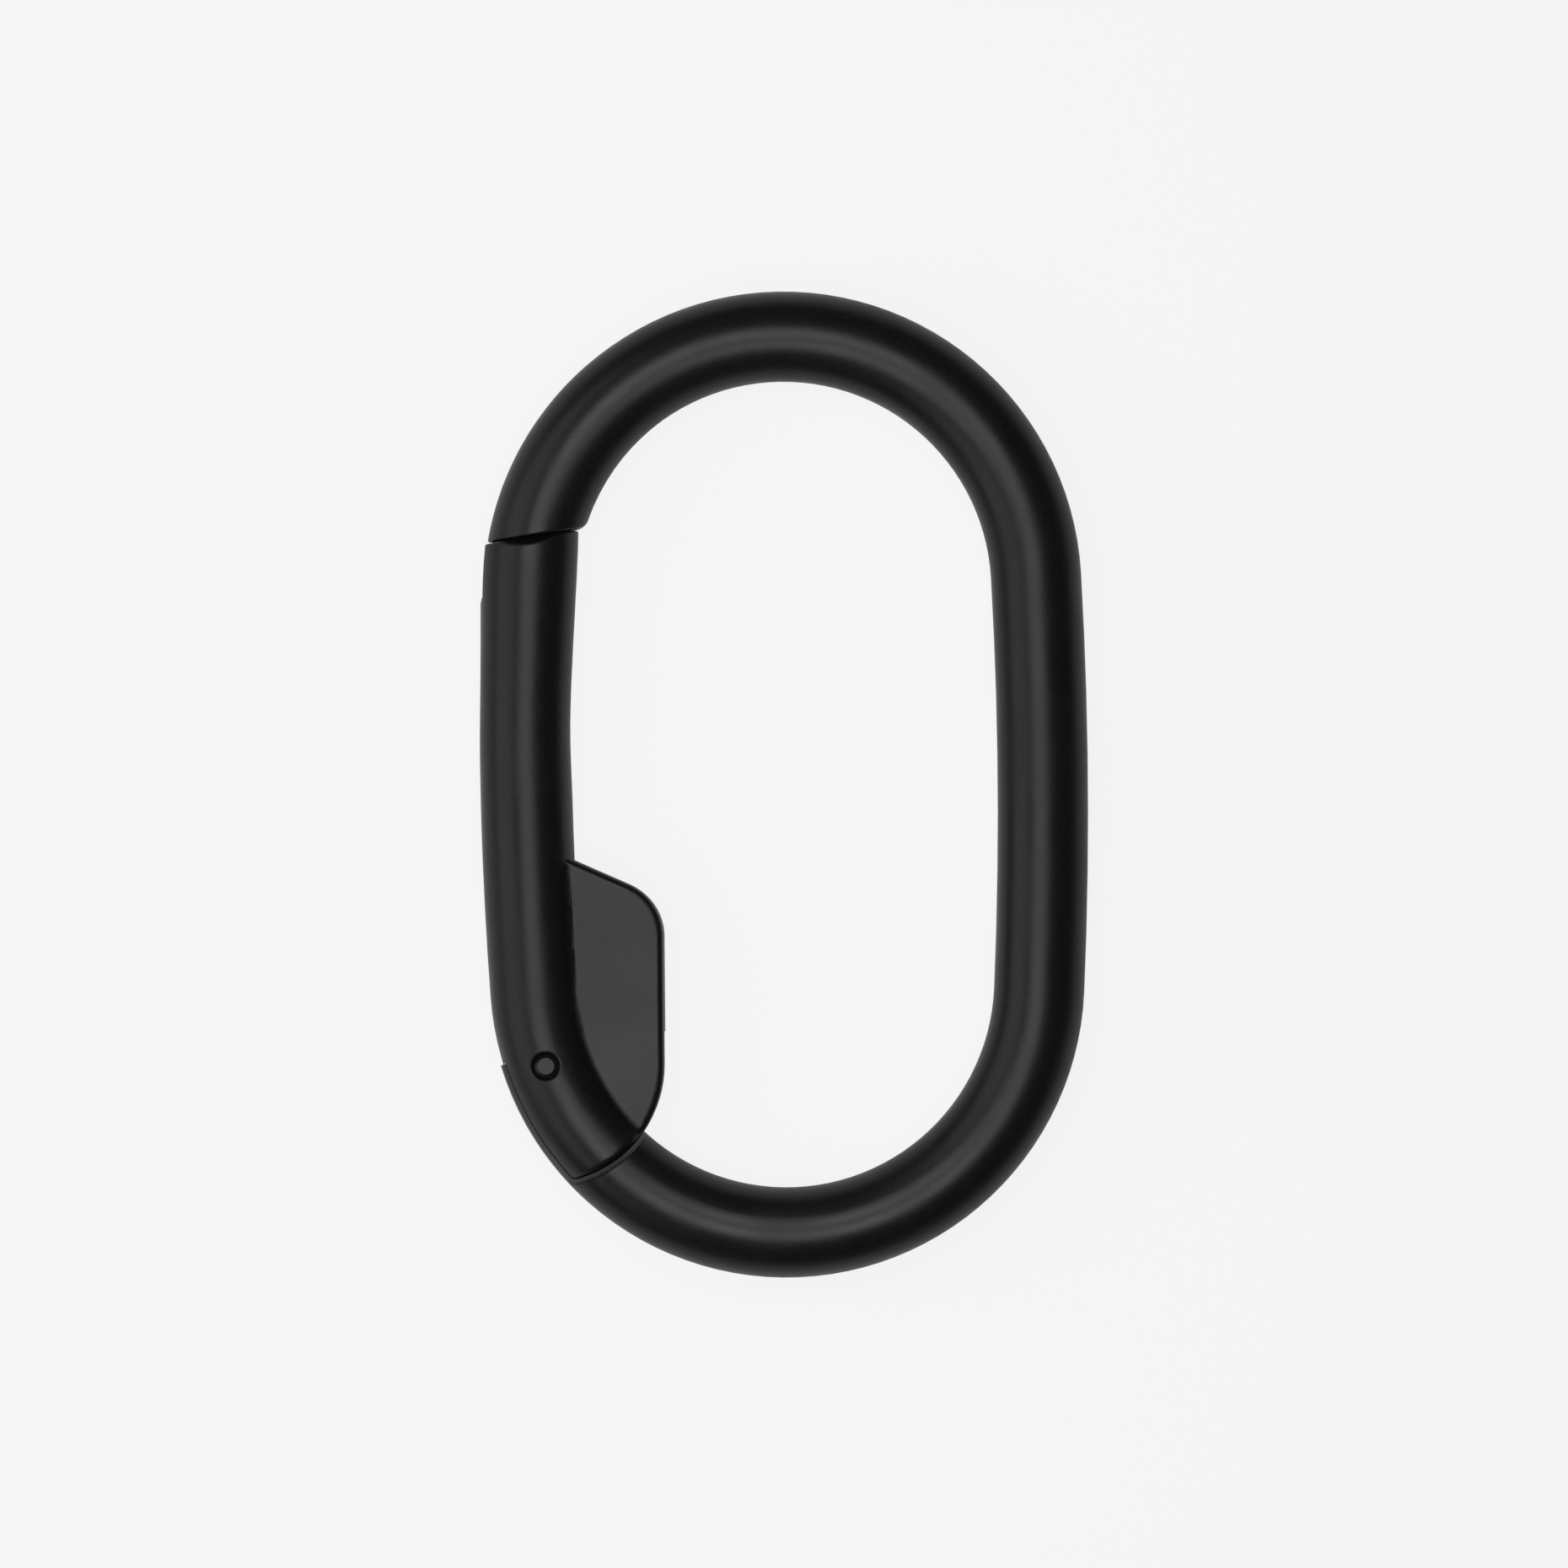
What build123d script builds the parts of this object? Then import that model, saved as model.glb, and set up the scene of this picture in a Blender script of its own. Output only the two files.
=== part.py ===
"""Oval carabiner keyring with an inward-opening sprung gate.

The ring lies flat on XY with its long axis along +Y. The origin is the centre of the ring on the
surface it lies on, so the middle plane of the bar is at Z = mid_z. All lengths are in millimetres.
"""
from build123d import *
from math import atan2, cos, degrees, radians, sin, sqrt, tan
import os

os.makedirs("parts", exist_ok=True)

# ---- the ring ----
ring_length = 60.0
mid_z = 2.91               # height of the middle plane: the gate's tip just clears the surface
bar_radius = 2.75
end_radius = 15.4          # centreline radius of the two end arcs
side_bow = 0.3             # how far each long side bows out past the end arcs
far = 40.0                 # reaches past everything when used as a cutter

# ---- the gate's rod ----
heel_rod_radius = 2.8
waist_radius = 2.755       # thinnest, beside the middle of the ring
tip_radius = 2.9
tip_end_radius = 2.7           # beyond the split, so that the tip narrows a little towards it
tip_start = (-15.14, 16.9)    # centreline of the upper rod, from beyond the split
tip_knee = (-15.45, 13.0)
tip_heading = (-0.09, -0.996, 0)
upper_middle = (-15.635, 8.3)
waist = (-15.775, 2.8)
knee_share = 0.28             # down to this share of its length the upper rod is thickest
waist_share = 0.72            # and here it is thinnest
below_waist_share = 0.86
below_waist_radius = 2.775
heel_lean = 0.9               # degrees the lower rod leans in towards the heel
lean_centre_y = -1.6
low_start = 0.3               # degrees round the side arc where the lower rod takes over

# ---- nose and tip ----
nose_radius = 2.83            # the bar swells to this at the nose
swell_angle = 55.0            # where it starts to swell, round the upper end arc
split_point = (-15.1, 15.2)   # where the top split crosses the bar's centreline
split_rise = 8.2              # degrees the split rises towards the inside of the ring
split_gap = 0.08
split_reach = 12.0            # width and depth of what is cut away beyond the split
split_depth = 6.0
end_overrun = 6.0             # degrees the nose is made past the split, then cut back
rim_radius = 0.14             # rounded rims of the nose and the shoulder
tip_rim_radius = 0.14
lip_radius = 1.1              # rounded inner corner of the nose
tip_bevel_length = 0.45       # steep bevel over the crest of the tip
tip_bevel_drop = 0.82
tongue_half = 0.8             # half thickness of the nose and hinge tongues
slot_half = 0.88
tip_slot_radius = 28.7        # floor of the tip slot, measured from the hinge pin
tip_ramp = ((-18.7, 10.1), (-18.15, 12.1))   # where the slot runs out through the rod's outer side
nose_tongue_radius = 29.0
tip_wall_x = -14.3            # inner wall of the tip slot
tip_wall_gap = 0.1
nose_tongue_recess = 0.4

# ---- hinge ----
pin_x = -14.6
pin_y = -16.95
pin_radius = 0.83
pin_running_gap = 0.05
pin_recess = 0.35
pin_bevel = 0.33
pin_bevel_drop = 0.2
pin_hole_rim = 0.12           # softened rim of the pin's hole
hub_radius = 2.5
hub_gap = 0.1
heel_radius = 7.22
heel_draft = 4.0              # degrees the heel and the fin's edge lean in, away from the middle plane
shoulder_radius = 7.45
tongue_angle = 16.4           # where the outer side of the hinge tongue ends, round the lower end arc
neck_angle = 30.0             # where the tongue joins the bar, round the lower end arc
neck_inset = 0.12             # the neck is this much narrower than the bar on each side
open_angle = 45.0
rod_overrun = 58.0            # the rod and fin are made past the heel, then cut back to it

# ---- finger fin ----
fin_half = 1.65
fin_heel_turn = 60.0          # degrees of the heel's arc that bound the fin
fin_edge_radius = 0.42
fin_corner_radius = 3.4
fin_blend_radius = 0.6        # hollow curve between rod and fin
hollow_lap = 0.5              # flat strip carried past the hollow curve, level with the fin's face
hollow_setback = 0.4          # the hollow curve stops this far below the fin's upper edge
fin_slope = -24.0             # degrees, the fin's upper edge
fin_slope_point = (-11.0, -5.33)

# ---- spring, plunger and cam ----
cam_arm = 1.75                # torque arm of the plunger about the pin
cam_height = 2.35             # plunger tip above the pin at rest
cam_gap = 0.02
cam_margin = 4.0              # degrees of spare cam past the open angle
cam_room = 4.45               # radius of the pocket that the cam sweeps
cam_slot_rise = 2.0           # the slot opens on the fin's edge this far above the pin
pocket_angle = 106.0
bore_radius = 0.85
bore_end_y = -6.2
plunger_radius = 0.81
plunger_head = 3.0
plunger_stem_radius = 0.35
plunger_edge = 0.12
plunger_stem = 2.4
spring_radius = 0.56          # of the coil's centreline
wire_radius = 0.17
spring_turns = 9

# ---- derived places ----
end_centre_y = ring_length / 2 - bar_radius - end_radius
side_centre_x = (end_centre_y**2 - side_bow**2) / (2 * side_bow)
side_radius = end_radius + side_bow + side_centre_x
join_angle = degrees(atan2(end_centre_y, side_centre_x))
split_angle = degrees(atan2(split_point[1] - end_centre_y, -split_point[0]))
bore_x = pin_x + cam_arm
plunger_tip_y = pin_y + cam_height + cam_gap
spring_base_y = plunger_tip_y + plunger_head
fin_edge_x = pin_x + heel_radius

middle = Plane.XY.offset(mid_z)
lean = Location((-end_radius - side_bow, lean_centre_y, mid_z), (0, 0, heel_lean))
lean_back = Location((end_radius + side_bow, -lean_centre_y, 0))
leaning = Plane(lean * lean_back)
across_split = Plane(origin=(*split_point, mid_z)).rotated((0, 0, split_rise))

# centre of the rounded inner corner of the nose, in the split's own plane
lip_height = split_gap / 2 + lip_radius
arc_centre = across_split.to_local_coords(Vector(0, end_centre_y, mid_z))
lip_reach = sqrt((end_radius - nose_radius + lip_radius) ** 2 - (arc_centre.Y - lip_height) ** 2)
lip_centre = Vector(arc_centre.X - lip_reach, lip_height)
lip_inwards = lip_centre + (arc_centre - lip_centre).normalized() * split_depth

# the hollow curve between rod and fin, seen along the rod: its centre and its two ends
hollow_centre = Vector(sqrt((heel_rod_radius + fin_blend_radius) ** 2 - (fin_half + fin_blend_radius) ** 2),
                       fin_half + fin_blend_radius)
hollow_start = hollow_centre.normalized() * heel_rod_radius
hollow_end = Vector(hollow_centre.X, fin_half)


def on_end_arc(angle, radius, side):
    """Point round an end arc: angle above the horizontal on the left, side +1 top or -1 bottom."""
    return (-radius * cos(radians(angle)), side * (end_centre_y + radius * sin(radians(angle))))


def fin_top(x):
    """Height of the fin's straight upper edge above X."""
    return fin_slope_point[1] + (x - fin_slope_point[0]) * tan(radians(fin_slope))


def below_fin_top(rise):
    """Corners of all that lies below the fin's straight upper edge, raised by this much."""
    return ((-far, -far), (far, -far), (far, fin_top(far) + rise), (-far, fin_top(-far) + rise))


def cam_point(turn):
    """Point of the cam that the plunger rests on once the gate has turned by this many degrees."""
    lift = cam_height + cam_arm * radians(turn)
    c, s = cos(radians(turn)), sin(radians(turn))
    return (pin_x + cam_arm * c + lift * s, pin_y - cam_arm * s + lift * c)


# ---- frame: bar, nose tongue and hinge tongue ----
with BuildPart() as frame:
    with BuildLine(middle) as bar_path:
        CenterArc((0, -end_centre_y), end_radius, 180 + tongue_angle, 180 - tongue_angle - join_angle)
        CenterArc((-side_centre_x, 0), side_radius, -join_angle, 2 * join_angle)
        CenterArc((0, end_centre_y), end_radius, join_angle, 180 - join_angle - swell_angle)
    with BuildSketch(Plane(bar_path.line @ 0, z_dir=bar_path.line % 0)):
        Circle(bar_radius)
    sweep(path=bar_path.line)
    with BuildLine(middle) as nose_path:
        CenterArc((0, end_centre_y), end_radius, 180 - swell_angle, swell_angle - split_angle + end_overrun)
    for place, radius in ((0, bar_radius), (1, nose_radius)):
        with BuildSketch(Plane(nose_path.line @ place, z_dir=nose_path.line % place)):
            Circle(radius)
    sweep(path=nose_path.line, multisection=True)
    # the nose is cut off along the split line, its inner corner rounded, and its rim softened
    with BuildSketch(across_split):
        with Locations((0, split_gap / 2)):
            Rectangle(split_reach, split_depth, align=(Align.CENTER, Align.MAX))
        with BuildLine():
            Polyline(lip_centre, (lip_centre.X, lip_centre.Y - split_depth), lip_inwards, close=True)
        make_face()
        with Locations(lip_centre):
            Circle(lip_radius, mode=Mode.SUBTRACT)
    extrude(amount=far, both=True, mode=Mode.SUBTRACT)
    nose_rim = frame.edges(Select.LAST).filter_by(GeomType.BSPLINE)
    fillet(nose_rim, rim_radius)
    # shoulder: the bar is cut back round the pin, except for the tongue in its middle
    for cheek in (1, -1):
        with BuildSketch(Plane.XY.offset(mid_z + cheek * tongue_half)):
            with Locations((pin_x, pin_y)):
                Circle(shoulder_radius)
        extrude(amount=cheek * far, mode=Mode.SUBTRACT)
    shoulder_rim = frame.edges(Select.LAST).filter_by(
        lambda e: abs((e @ 0.5).Z - mid_z) > bar_radius - tongue_half)
    fillet(shoulder_rim, rim_radius)
    # hinge tongue: hub, neck and cam, bored for the pin
    with BuildSketch(middle):
        with BuildLine():
            Line(on_end_arc(neck_angle, end_radius - bar_radius + neck_inset, -1),
                 on_end_arc(neck_angle, end_radius + bar_radius - neck_inset, -1))
            CenterArc((pin_x, pin_y), hub_radius, 0, 360)
        make_hull()
        with BuildLine():
            cam = Spline(*[cam_point(t) for t in (-12, 0, 12, 24, 36, open_angle + cam_margin)])
            Polyline(cam @ 1, on_end_arc(neck_angle, end_radius - bar_radius, -1), (pin_x, pin_y), cam @ 0)
        make_face()
    extrude(amount=tongue_half, both=True)
    with BuildSketch(middle):
        with Locations((pin_x, pin_y)):
            Circle(pin_radius + pin_running_gap)
    extrude(amount=tongue_half, both=True, mode=Mode.SUBTRACT)
    with BuildSketch(middle):
        with Locations((0, end_centre_y)):
            Circle(end_radius + bar_radius - nose_tongue_recess)
        with Locations((pin_x, pin_y)):
            Circle(nose_tongue_radius, mode=Mode.SUBTRACT)
        with Locations((tip_wall_x - tip_wall_gap, split_point[1] + 1)):
            Rectangle(far, far, align=(Align.MAX, Align.MAX), mode=Mode.INTERSECT)
    extrude(amount=tongue_half, both=True)
frame.part.label = "frame"
export_step(frame.part, "parts/frame.step")

# ---- gate's rod above the fin: lower arcs carried on up to the tip, swelling towards it ----
with BuildPart() as upper_rod:
    with BuildLine(leaning) as low_path:
        CenterArc((side_centre_x, 0), side_radius, 180 + low_start, join_angle - low_start)
        CenterArc((0, -end_centre_y), end_radius, 180 + join_angle, rod_overrun - join_angle)
    low_from = low_path.line @ 0
    low_along = low_path.line % 0
    with BuildSketch(Plane(low_from, z_dir=low_along)):
        Circle(heel_rod_radius)
    sweep(path=low_path.line)
    with BuildLine() as tip_path:
        Spline((*tip_start, mid_z), (*tip_knee, mid_z), (*upper_middle, mid_z), (*waist, mid_z),
               low_from, tangents=[tip_heading, low_along])
    for place, radius in ((0, tip_end_radius), (knee_share, tip_radius), (waist_share, waist_radius),
                          (below_waist_share, below_waist_radius), (1, heel_rod_radius)):
        with BuildSketch(Plane(tip_path.line @ place, z_dir=tip_path.line % place)):
            Circle(radius)
    sweep(path=tip_path.line, multisection=True)
    with BuildSketch(middle):
        with BuildLine():
            Polyline(*below_fin_top(-hollow_setback), close=True)
        make_face()
    extrude(amount=far, both=True, mode=Mode.SUBTRACT)

# ---- what the heel may fill: all above the pin's level, and a cone round the pin below it ----
with BuildPart() as heel_room:
    with BuildSketch(middle):
        with Locations((pin_x, pin_y)):
            Circle(heel_radius)
    extrude(amount=heel_rod_radius, taper=heel_draft)
    with BuildSketch(middle):
        with Locations((pin_x, pin_y)):
            Rectangle(2 * far, far, align=(Align.CENTER, Align.MIN))
    extrude(amount=heel_rod_radius)

# ---- upper half of the lower rod, running into the fin's face in a hollow curve ----
with BuildPart() as lower_rod:
    with BuildSketch(Plane(low_from, x_dir=Vector(0, 0, 1).cross(low_along), z_dir=low_along)):
        with BuildLine():
            RadiusArc((-heel_rod_radius, 0), hollow_start, heel_rod_radius)
            RadiusArc(hollow_start, hollow_end, -fin_blend_radius)
            Polyline(hollow_end, (hollow_end.X + hollow_lap, fin_half), (hollow_end.X + hollow_lap, 0),
                     (-heel_rod_radius, 0))
        make_face()
    sweep(path=low_path.line)
    with BuildSketch(middle):
        with BuildLine():
            Polyline(*below_fin_top(-hollow_setback), close=True)
        make_face()
    extrude(amount=far, mode=Mode.INTERSECT)
    trimmed_rod = lower_rod.part
    add(heel_room.part, mode=Mode.INTERSECT)
    heel_rim = lower_rod.faces().filter_by(GeomType.CONE).edges().filter_by(
        lambda e: (e @ 0.5).Z > mid_z + fin_half - 0.01)
    fillet(heel_rim, fin_edge_radius)
    with BuildSketch(middle):
        with Locations((pin_x, pin_y)):
            Circle(pin_radius)
    extrude(amount=far, mode=Mode.SUBTRACT)
    fillet(lower_rod.edges(Select.LAST).sort_by(Axis.Z)[-1], pin_hole_rim)

# ---- upper half of the fin, its long edge and heel drafted ----
with BuildPart() as fin:
    with BuildSketch(middle):
        with BuildLine():
            heel_arc = CenterArc((pin_x, pin_y), heel_radius, -fin_heel_turn, fin_heel_turn)
            Polyline(heel_arc @ 1, (fin_edge_x, 0), (pin_x, 0), (pin_x, pin_y), heel_arc @ 0)
        make_face()
    extrude(amount=fin_half, taper=heel_draft)
    with BuildSketch(middle):
        with BuildLine():
            Polyline(*below_fin_top(0), close=True)
        make_face()
    extrude(amount=far, mode=Mode.INTERSECT)
    upright = fin.edges().filter_by(lambda e: (e @ 0).Z != (e @ 1).Z and (e @ 0.5).X > fin_slope_point[0])
    fillet(upright.sort_by(Axis.Y)[-1], fin_corner_radius)
    fin_rim = fin.faces().sort_by(Axis.Z)[-1].edges().filter_by(
        lambda e: (e @ 0.5).X > pin_x + 1 and (e.geom_type != GeomType.LINE or (e @ 0.5).Y > pin_y))
    fillet(fin_rim, fin_edge_radius)
    add(trimmed_rod, mode=Mode.SUBTRACT)

# ---- gate: rod, finger fin and heel cheeks ----
with BuildPart() as half_gate:
    add(lower_rod.part)
    add(fin.part)
# mending takes up the small gaps that joining the mirrored halves leaves
both_halves = (half_gate.part + half_gate.part.mirror(middle)).fix()

with BuildPart() as gate:
    add(both_halves)
    add(upper_rod.part)
    # the tip is cut off along the split line and bevelled over its crests
    with BuildSketch(across_split):
        with Locations((0, -split_gap / 2)):
            Rectangle(split_reach, split_depth, align=(Align.CENTER, Align.MIN))
    extrude(amount=far, both=True, mode=Mode.SUBTRACT)
    with BuildSketch(Plane(origin=across_split.origin, x_dir=across_split.y_dir, z_dir=across_split.x_dir)):
        with BuildLine():
            Polyline((-split_gap / 2, tip_radius - tip_bevel_drop),
                     (-split_gap / 2 - 2 * tip_bevel_length, tip_radius + tip_bevel_drop),
                     (-split_gap / 2, tip_radius + tip_bevel_drop), close=True)
        make_face()
        mirror(about=Plane.XZ)
    extrude(amount=split_reach / 2, both=True, mode=Mode.SUBTRACT)
    tip_faces = gate.faces().filter_by(GeomType.PLANE).filter_by(lambda f: f.center().Y > tip_knee[1])
    fillet(tip_faces.edges().filter_by(lambda e: e.geom_type != GeomType.LINE), tip_rim_radius)
    # slot for the nose tongue, open at the tip and ramped out on the outer side
    with BuildSketch(middle):
        with Locations((tip_wall_x, split_point[1] + 3)):
            Rectangle(far, far, align=(Align.MAX, Align.MAX))
        with Locations((pin_x, pin_y)):
            Circle(tip_slot_radius, mode=Mode.SUBTRACT)
        with BuildLine():
            Polyline(*tip_ramp, (-far, tip_ramp[1][1]), (-far, tip_ramp[0][1]), close=True)
        make_face()
    extrude(amount=slot_half, both=True, mode=Mode.SUBTRACT)
    # slot for the hinge tongue: round the hub, through the heel, and where the cam sweeps
    with BuildSketch(middle):
        with Locations((pin_x, pin_y)):
            Circle(hub_radius + hub_gap)
            Rectangle(far, far, align=(Align.CENTER, Align.MAX))
            Rectangle(far, cam_slot_rise, align=(Align.MIN, Align.MIN))
        with BuildLine():
            pocket = CenterArc((pin_x, pin_y), cam_room, 0, pocket_angle)
            Polyline(pocket @ 1, (pin_x, pin_y), pocket @ 0)
        make_face()
    extrude(amount=slot_half, both=True, mode=Mode.SUBTRACT)
    # blind bore for the spring, drilled up from the slot
    with BuildSketch(Plane(origin=(bore_x, pin_y, mid_z), x_dir=(1, 0, 0), z_dir=(0, 1, 0))):
        Circle(bore_radius)
    extrude(amount=bore_end_y - pin_y, mode=Mode.SUBTRACT)
gate.part.label = "gate"
export_step(gate.part, "parts/gate.step")

# ---- hinge pin: pressed into both cheeks, its ends domed and set below the surface ----
with BuildPart() as hinge_pin:
    with BuildSketch(middle):
        with Locations((pin_x, pin_y)):
            Circle(pin_radius)
    extrude(amount=heel_rod_radius - pin_recess, both=True)
    for end in (hinge_pin.faces().sort_by(Axis.Z)[0], hinge_pin.faces().sort_by(Axis.Z)[-1]):
        chamfer(end.edges(), pin_bevel, pin_bevel_drop, reference=end)
hinge_pin.part.label = "hinge_pin"
export_step(hinge_pin.part, "parts/hinge_pin.step")

# ---- spring plunger: head against the cam, stem inside the spring ----
along_bore = Plane(origin=(bore_x, plunger_tip_y, mid_z), x_dir=(1, 0, 0), z_dir=(0, 1, 0))
with BuildPart() as spring_plunger:
    with BuildSketch(along_bore):
        Circle(plunger_radius)
    extrude(amount=plunger_head)
    fillet(spring_plunger.edges().filter_by(GeomType.CIRCLE), plunger_edge)
    with BuildSketch(along_bore.offset(plunger_head)):
        Circle(plunger_stem_radius)
    extrude(amount=plunger_stem)
    chamfer(spring_plunger.edges().sort_by(Axis.Y)[-1], plunger_edge)
spring_plunger.part.label = "spring_plunger"
export_step(spring_plunger.part, "parts/spring_plunger.step")

# ---- gate spring: open coil between the plunger's head and the end of the bore ----
spring_length = bore_end_y - spring_base_y - 2 * wire_radius
with BuildPart() as gate_spring:
    with BuildLine() as coil:
        Helix(spring_length / spring_turns, spring_length, spring_radius,
              center=(bore_x, spring_base_y + wire_radius, mid_z), direction=(0, 1, 0))
    with BuildSketch(Plane(coil.line @ 0, z_dir=coil.line % 0)):
        Circle(wire_radius)
    sweep(path=coil.line, is_frenet=True)
gate_spring.part.label = "gate_spring"
export_step(gate_spring.part, "parts/gate_spring.step")
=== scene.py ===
# Oval carabiner keyring: finishes, inner spring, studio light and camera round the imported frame
import bpy
from math import pi, radians
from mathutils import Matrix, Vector


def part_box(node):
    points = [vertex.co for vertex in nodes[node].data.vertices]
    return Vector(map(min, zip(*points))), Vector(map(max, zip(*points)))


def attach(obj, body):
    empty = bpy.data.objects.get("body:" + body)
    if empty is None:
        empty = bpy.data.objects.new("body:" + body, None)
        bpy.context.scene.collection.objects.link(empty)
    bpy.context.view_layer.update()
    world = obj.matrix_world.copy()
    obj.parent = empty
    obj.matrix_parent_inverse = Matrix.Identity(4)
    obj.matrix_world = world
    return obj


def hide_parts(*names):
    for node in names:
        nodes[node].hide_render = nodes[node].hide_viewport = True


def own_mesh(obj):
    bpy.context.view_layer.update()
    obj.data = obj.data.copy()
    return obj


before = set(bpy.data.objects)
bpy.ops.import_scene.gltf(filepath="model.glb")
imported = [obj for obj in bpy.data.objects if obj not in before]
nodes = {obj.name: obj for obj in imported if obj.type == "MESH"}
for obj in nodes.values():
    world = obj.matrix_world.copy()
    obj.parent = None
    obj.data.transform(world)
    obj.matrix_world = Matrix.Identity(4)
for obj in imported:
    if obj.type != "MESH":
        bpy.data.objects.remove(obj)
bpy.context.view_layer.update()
print("frame loaded:", len(nodes), "nodes")


def newMaterial(name):
    material = bpy.data.materials.new(name)
    material.use_nodes = True
    tree = material.node_tree
    tree.nodes.clear()
    output = tree.nodes.new("ShaderNodeOutputMaterial")
    return material, tree, output


def addNode(tree, kind, inputs=None, **options):
    # a socket among the inputs is linked, and any other value is set
    node = tree.nodes.new(kind)
    for option, value in options.items():
        setattr(node, option, value)
    for socket, value in (inputs or {}).items():
        if isinstance(value, bpy.types.NodeSocket):
            tree.links.new(value, node.inputs[socket])
        else:
            node.inputs[socket].default_value = value
    return node


noiseRange = (0.3, 0.7)         # most of a noise texture's values lie between these


def spread(tree, noise, low, high):
    ranged = addNode(tree, "ShaderNodeMapRange", {"Value": noise, "From Min": noiseRange[0],
                                                  "From Max": noiseRange[1], "To Min": low, "To Max": high})
    return ranged.outputs["Result"]


def giveFinish(piece, material):
    for slot in piece.material_slots:
        slot.material = material


# satin black coating, sprayed thin over the casting
coating = {
    "colour": (0.0026, 0.0026, 0.0027, 1),
    "speckColour": (0.0085, 0.0085, 0.0087, 1),
    "roughness": 0.36,
    "roughnessSwing": 0.04,
    "gloss": 0.3,
    "grainSize": 0.00011,       # m, one grain of the spray
    "grainDepth": 0.0000028,    # m
    "grainDetail": 2.0,
    "grainHarshness": 0.6,
    "cloudSize": 0.004,         # m, slow change of gloss along the bar
    "cloudDetail": 3.0,
}


def makeSatinCoating(name, settings):
    material, tree, output = newMaterial(name)
    place = addNode(tree, "ShaderNodeTexCoord").outputs["Object"]
    grain = addNode(tree, "ShaderNodeTexNoise", {"Vector": place, "Scale": 1 / settings["grainSize"],
                                                 "Detail": settings["grainDetail"],
                                                 "Roughness": settings["grainHarshness"]}).outputs["Fac"]
    cloud = addNode(tree, "ShaderNodeTexNoise", {"Vector": place, "Scale": 1 / settings["cloudSize"],
                                                 "Detail": settings["cloudDetail"]}).outputs["Fac"]
    colour = addNode(tree, "ShaderNodeMix", {"Factor": spread(tree, grain, 0, 1),
                                             "A": settings["colour"],
                                             "B": settings["speckColour"]}, data_type="RGBA")
    swing = settings["roughnessSwing"]
    roughness = spread(tree, cloud, settings["roughness"] - swing, settings["roughness"] + swing)
    bump = addNode(tree, "ShaderNodeBump", {"Height": grain, "Distance": settings["grainDepth"],
                                            "Strength": 1.0})
    coat = addNode(tree, "ShaderNodeBsdfPrincipled", {"Base Color": colour.outputs[2],
                                                      "Roughness": roughness,
                                                      "Specular IOR Level": settings["gloss"],
                                                      "Normal": bump.outputs["Normal"]})
    tree.links.new(coat.outputs["BSDF"], output.inputs["Surface"])
    return material


satinBlack = makeSatinCoating("satinBlackCoating", coating)
for name in ("frame", "gate", "hinge_pin"):
    giveFinish(nodes[name], satinBlack)
print("satin coating on frame, gate and pin")


# bare steel of the plunger and the spring
steel = {
    "colour": (0.46, 0.45, 0.43, 1),
    "darkColour": (0.30, 0.29, 0.27, 1),
    "roughness": 0.28,
    "roughnessSwing": 0.07,
    "lineSize": 0.00006,        # m, fine lines left by drawing and turning
    "lineWidthShare": 0.08,     # a line's width, as a share of its length along the bore
    "lineDepth": 0.0000008,     # m
    "lineDetail": 2.0,
}


def makeDrawnSteel(name, settings):
    material, tree, output = newMaterial(name)
    place = addNode(tree, "ShaderNodeTexCoord").outputs["Object"]
    along = addNode(tree, "ShaderNodeMapping", {"Vector": place,
                                                "Scale": (1, settings["lineWidthShare"], 1)})
    lines = addNode(tree, "ShaderNodeTexNoise", {"Vector": along.outputs["Vector"],
                                                 "Scale": 1 / settings["lineSize"],
                                                 "Detail": settings["lineDetail"]}).outputs["Fac"]
    colour = addNode(tree, "ShaderNodeMix", {"Factor": spread(tree, lines, 0, 1),
                                             "A": settings["darkColour"],
                                             "B": settings["colour"]}, data_type="RGBA")
    swing = settings["roughnessSwing"]
    roughness = spread(tree, lines, settings["roughness"] + swing, settings["roughness"] - swing)
    bump = addNode(tree, "ShaderNodeBump", {"Height": lines, "Distance": settings["lineDepth"],
                                            "Strength": 1.0})
    metal = addNode(tree, "ShaderNodeBsdfPrincipled", {"Base Color": colour.outputs[2], "Metallic": 1.0,
                                                       "Roughness": roughness,
                                                       "Normal": bump.outputs["Normal"]})
    tree.links.new(metal.outputs["BSDF"], output.inputs["Surface"])
    return material


drawnSteel = makeDrawnSteel("drawnSteel", steel)
giveFinish(nodes["spring_plunger"], drawnSteel)
print("bare steel on the plunger")


# coil spring inside the gate, wound as one fixed mesh that moves with the gate; in the real clip the
# plunger shortens it as the gate opens
spring = {
    "wireSides": 12,
    "wireShare": 0.116,         # wire radius, as a share of the coil's outer diameter
    "stepsPerTurn": 28,
    "openTurns": 7,
    "closedTurns": 1,           # at each end, where the wire lies against itself
}


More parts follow.
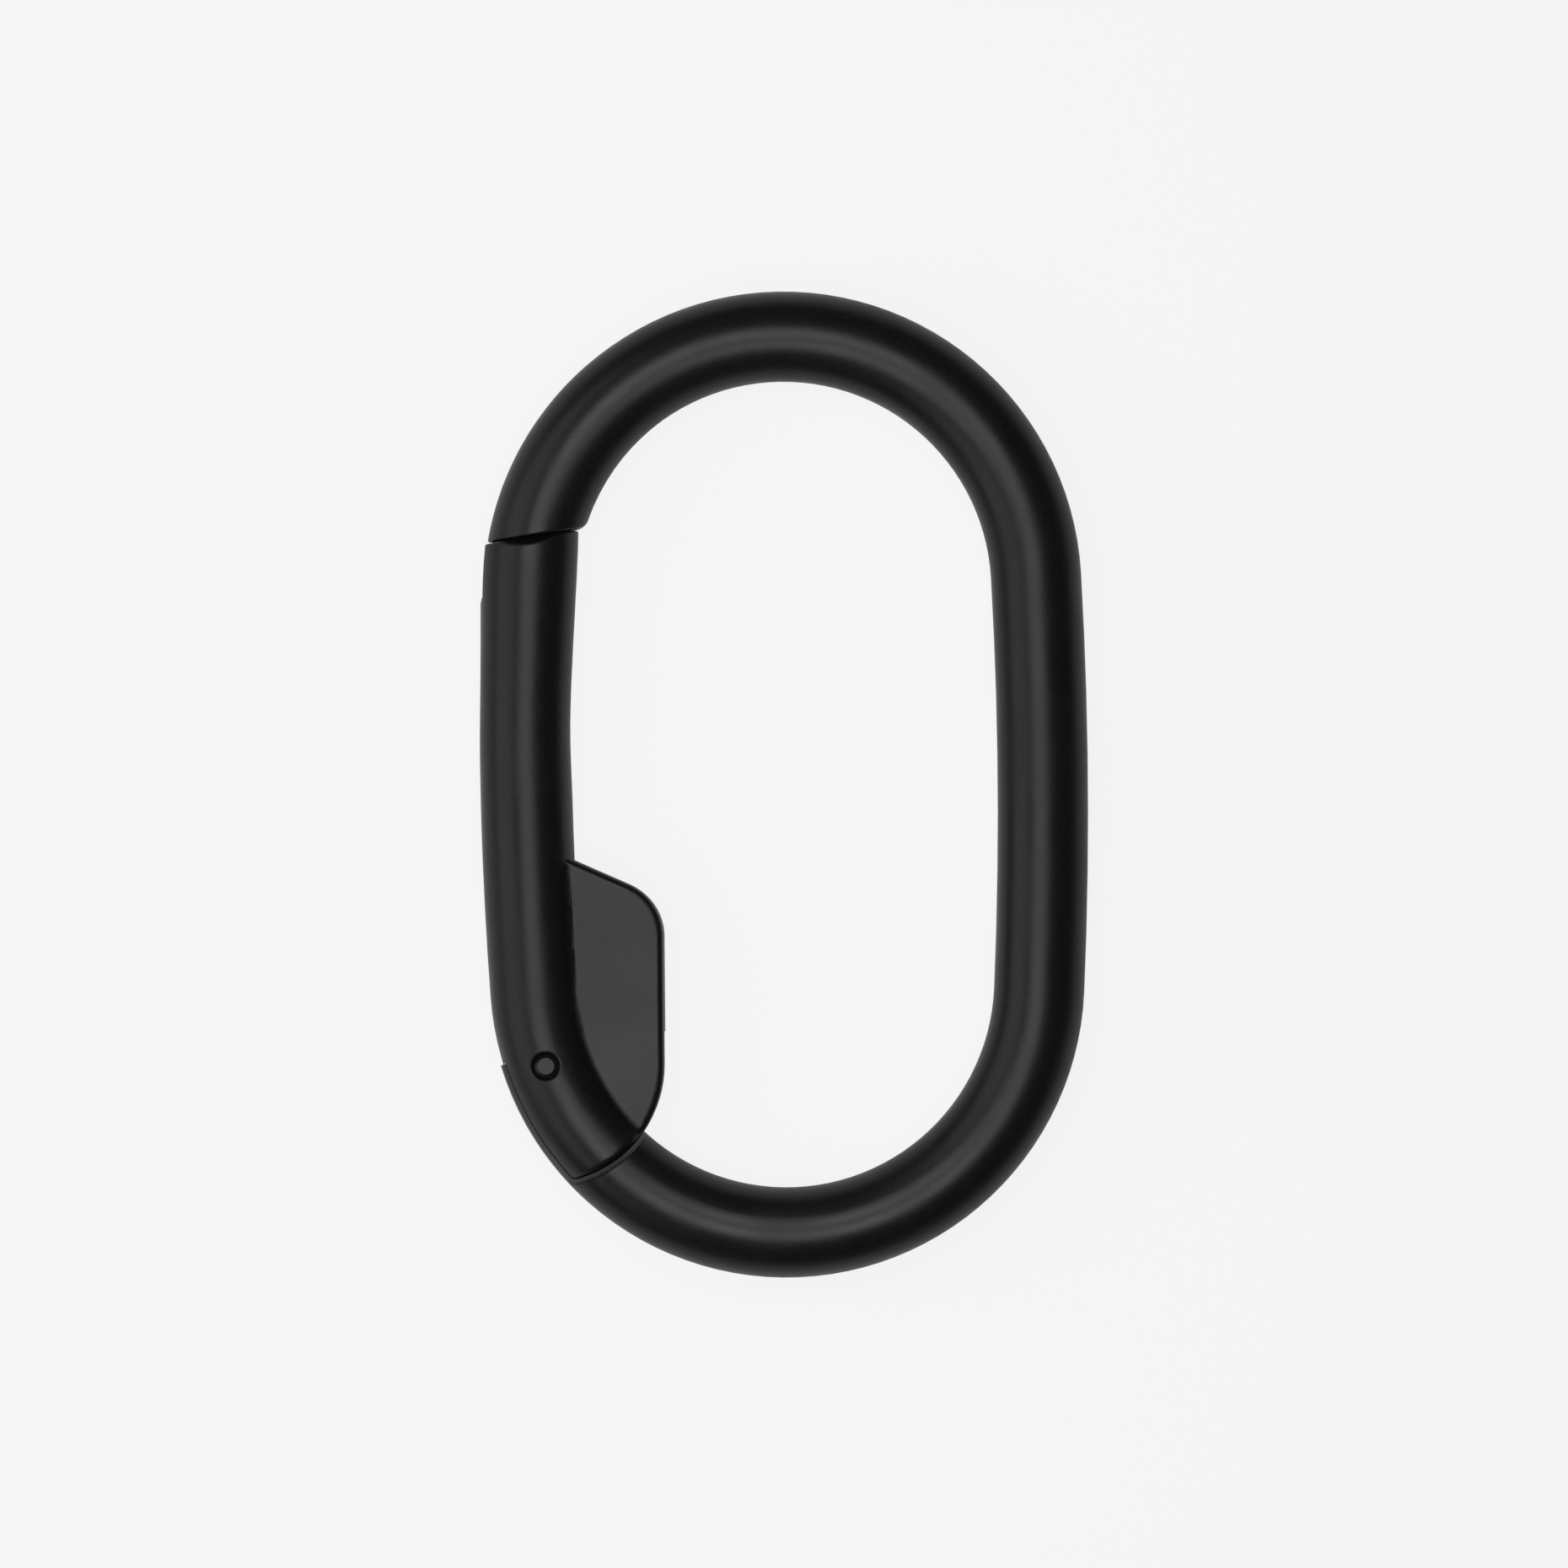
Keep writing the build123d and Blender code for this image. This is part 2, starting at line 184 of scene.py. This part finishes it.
def windCoil(outer, wire, settings):
    # wound about the origin with every turn closed: outer is the coil's radius, wire the wire's
    bpy.ops.object.select_all(action="DESELECT")
    bpy.ops.mesh.primitive_circle_add(vertices=settings["wireSides"], radius=wire)
    coil = bpy.context.object
    coil.name = "gate_coil"
    bpy.ops.object.mode_set(mode="EDIT")
    bpy.ops.mesh.select_all(action="SELECT")
    bpy.ops.transform.rotate(value=radians(90), orient_axis="X", center_override=(0, 0, 0))
    bpy.ops.transform.translate(value=(outer - wire, 0, 0))
    bpy.ops.object.mode_set(mode="OBJECT")
    winding = coil.modifiers.new("winding", "SCREW")
    winding.axis = "Z"
    winding.screw_offset = 2 * wire
    winding.iterations = settings["openTurns"] + 2 * settings["closedTurns"]
    winding.steps = winding.render_steps = settings["stepsPerTurn"]
    bpy.ops.object.modifier_apply(modifier="winding")
    bpy.ops.object.mode_set(mode="EDIT")
    bpy.ops.mesh.select_all(action="SELECT")
    bpy.ops.mesh.fill_holes(sides=settings["wireSides"])
    bpy.ops.mesh.select_all(action="SELECT")
    bpy.ops.mesh.normals_make_consistent(inside=False)
    bpy.ops.object.mode_set(mode="OBJECT")
    return coil


def buildSpring(settings):
    low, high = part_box("gate_spring")
    middle = (low + high) / 2
    length = high.y - low.y
    outer = (high.x - low.x) / 2
    wire = settings["wireShare"] * 2 * outer
    coil = windCoil(outer, wire, settings)
    # the open turns are drawn out between the closed ones, and the coil is laid along the bore
    closed = 2 * wire * settings["closedTurns"]
    wound = 2 * wire * settings["openTurns"]
    stretch = (length - 2 * wire - 2 * closed) / wound
    for point in coil.data.vertices:
        x, y, z = point.co
        opened = min(max(z - closed, 0), wound)
        point.co = (middle.x + x, low.y + wire + z + opened * (stretch - 1), middle.z - y)
    bpy.ops.object.shade_smooth()
    coil.data.materials.append(drawnSteel)
    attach(coil, "gate")
    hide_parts("gate_spring")
    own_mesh(coil)


buildSpring(spring)
print("spring wound")


# two soft boxes straight overhead light the bar's crest, and a large one fills in from the gate's side
overheadBoxes = {
    "middle": (-0.012, 0.19),   # m, across the ring and above the floor
    "fromMiddle": 0.050,        # m, each box along the ring, one either way
    "size": (0.118, 0.066),
    "radiance": 4.7,
}

sideBox = {
    "at": (-0.289, 0, 0.1285),
    "aim": (-0.250, 0, 0),
    "size": (0.441, 0.340),
    "radiance": 1.3,
}


def addSoftbox(name, at, aim, settings):
    width, height = settings["size"]
    lamp = bpy.data.lights.new(name, "AREA")
    lamp.shape = "RECTANGLE"
    lamp.size, lamp.size_y = width, height
    lamp.energy = settings["radiance"] * pi * width * height   # W, for that radiance over the whole box
    box = bpy.data.objects.new(name, lamp)
    bpy.context.scene.collection.objects.link(box)
    box.location = at
    box.rotation_euler = (Vector(aim) - box.location).to_track_quat("-Z", "Y").to_euler()
    box.visible_camera = False


across, above = overheadBoxes["middle"]
for name, side in (("farBox", 1), ("nearBox", -1)):
    along = side * overheadBoxes["fromMiddle"]
    addSoftbox(name, (across, along, above), (across, along, 0), overheadBoxes)
addSoftbox("sideBox", sideBox["at"], sideBox["aim"], sideBox)
print("soft boxes hung")


# pale floor and world, as the eye sees them and as the coating does
studio = {
    "floorSide": 6.0,
    "floorColour": (0.80, 0.80, 0.80, 1),
    "paleColour": (0.955, 0.955, 0.957, 1),
    "shadowShare": 0.1,         # how much of the shadow the pale floor shows
    "glossShare": 0.12,         # how much of its paleness a glossy surface sees
    "worldStrength": 0.05,      # light that the world gives the object
}


def eyeShare(tree, glossShare):
    # 1 where the eye or a clear surface looks, glossShare where a glossy one does
    path = addNode(tree, "ShaderNodeLightPath").outputs
    gloss = addNode(tree, "ShaderNodeMath", {0: path["Is Glossy Ray"], 1: glossShare}, operation="MULTIPLY")
    seen = addNode(tree, "ShaderNodeMath", {0: path["Is Camera Ray"], 1: path["Is Transmission Ray"]},
                   operation="MAXIMUM")
    both = addNode(tree, "ShaderNodeMath", {0: gloss.outputs[0], 1: seen.outputs[0]}, operation="MAXIMUM")
    return both.outputs[0]


def layFloor(settings):
    bpy.ops.object.select_all(action="DESELECT")
    bpy.ops.mesh.primitive_plane_add(size=settings["floorSide"], location=(0, 0, 0))
    floor = bpy.context.object
    floor.name = "floor"
    material, tree, output = newMaterial("paleFloor")
    lit = addNode(tree, "ShaderNodeBsdfDiffuse", {"Color": settings["floorColour"]})
    pale = addNode(tree, "ShaderNodeEmission", {"Color": settings["paleColour"], "Strength": 1.0})
    share = addNode(tree, "ShaderNodeMath", {0: eyeShare(tree, settings["glossShare"]),
                                             1: 1 - settings["shadowShare"]}, operation="MULTIPLY")
    mix = addNode(tree, "ShaderNodeMixShader", {0: share.outputs[0], 1: lit.outputs[0], 2: pale.outputs[0]})
    tree.links.new(mix.outputs[0], output.inputs["Surface"])
    floor.data.materials.append(material)


def lightWorld(settings):
    world = bpy.data.worlds.new("studio")
    bpy.context.scene.world = world
    world.use_nodes = True
    tree = world.node_tree
    tree.nodes.clear()
    output = tree.nodes.new("ShaderNodeOutputWorld")
    path = addNode(tree, "ShaderNodeLightPath").outputs
    dim = addNode(tree, "ShaderNodeBackground", {"Color": (1, 1, 1, 1),
                                                 "Strength": settings["worldStrength"]})
    pale = addNode(tree, "ShaderNodeBackground", {"Color": settings["paleColour"], "Strength": 1.0})
    mix = addNode(tree, "ShaderNodeMixShader", {0: path["Is Camera Ray"], 1: dim.outputs[0],
                                                2: pale.outputs[0]})
    tree.links.new(mix.outputs[0], output.inputs["Surface"])


layFloor(studio)
lightWorld(studio)
print("floor and world ready")


camera = {
    "lens": 200.0,
    "sensor": 36.0,
    "nearest": 0.005,           # m, anything closer to the lens isn't drawn
    "frameWidth": 0.0954,       # m seen across the frame at the bar's middle plane
    "over": (-0.000046, 0.000034),   # m, the point of the floor that it stands above
    "turn": -0.442,             # degrees about the view axis
}


def setCamera(settings):
    low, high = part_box("frame")
    barLevel = ((low + high) / 2).z
    distance = settings["frameWidth"] * settings["lens"] / settings["sensor"]
    data = bpy.data.cameras.new("camera")
    data.lens = settings["lens"]
    data.sensor_width = settings["sensor"]
    data.clip_start = settings["nearest"]
    eye = bpy.data.objects.new("camera", data)
    bpy.context.scene.collection.objects.link(eye)
    eye.location = (*settings["over"], barLevel + distance)
    eye.rotation_euler = (0, 0, radians(settings["turn"]))
    bpy.context.scene.camera = eye


setCamera(camera)
bpy.context.scene.view_settings.view_transform = "Standard"
print("camera set")
